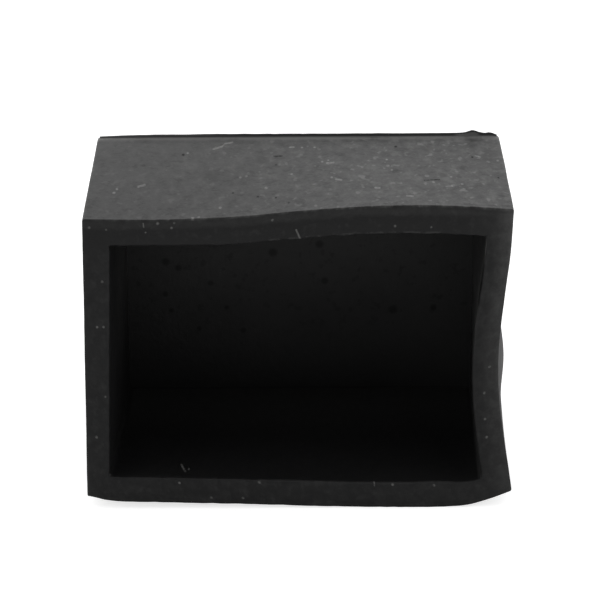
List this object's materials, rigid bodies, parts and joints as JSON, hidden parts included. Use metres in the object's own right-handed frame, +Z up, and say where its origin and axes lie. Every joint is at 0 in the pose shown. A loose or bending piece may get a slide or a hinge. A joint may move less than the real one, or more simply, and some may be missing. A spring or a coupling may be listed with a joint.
{
  "type": "rubber foot",
  "caption": "Moulded rubber foot, a box open at one end, that slips over the end of a rectangular tube leg to stop it slipping and marking the floor.",
  "frame": {"origin": "middle of the footprint of the foot's box, on the surface that it lies on", "axes": "+X along the long side of the section, +Y from the open mouth towards the sole, +Z up from the surface that the foot lies on"},
  "size_m": [0.069, 0.0428, 0.0519],
  "materials": {
    "rubber": "matte black moulded rubber, lightly dusted and scuffed"
  },
  "bodies": {
    "root": {"foot": "rubber"}
  },
  "joints": []
}
